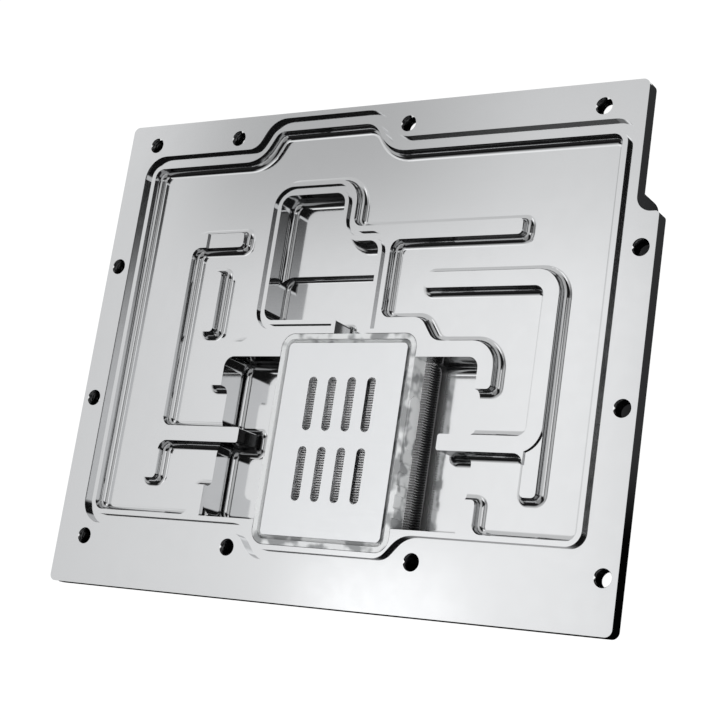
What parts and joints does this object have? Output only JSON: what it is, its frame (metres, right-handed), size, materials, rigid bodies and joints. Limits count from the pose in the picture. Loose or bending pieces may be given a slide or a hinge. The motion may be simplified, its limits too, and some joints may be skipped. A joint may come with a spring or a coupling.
{
  "type": "gpu water block",
  "caption": "Graphics card water block with its cover off: a rectangular nickel plated copper cold plate with milled coolant channels, a clear flow insert over the fins and a slotted jet plate.",
  "frame": {"origin": "middle of the plate's outline, in the plane of the contact pads on the back", "axes": "+X along the long side towards the side with the notch, +Y along the short side towards the edge with the notch, +Z out of the milled front face"},
  "size_m": [0.13, 0.1034, 0.0103],
  "materials": {
    "nickel_plate": "polished nickel plating on milled copper",
    "clear_plastic": "clear moulded plastic",
    "steel": "bright rolled sheet"
  },
  "bodies": {
    "root": {"cold_plate": "nickel_plate", "flow_insert": "clear_plastic", "jet_plate": "steel"}
  },
  "joints": []
}
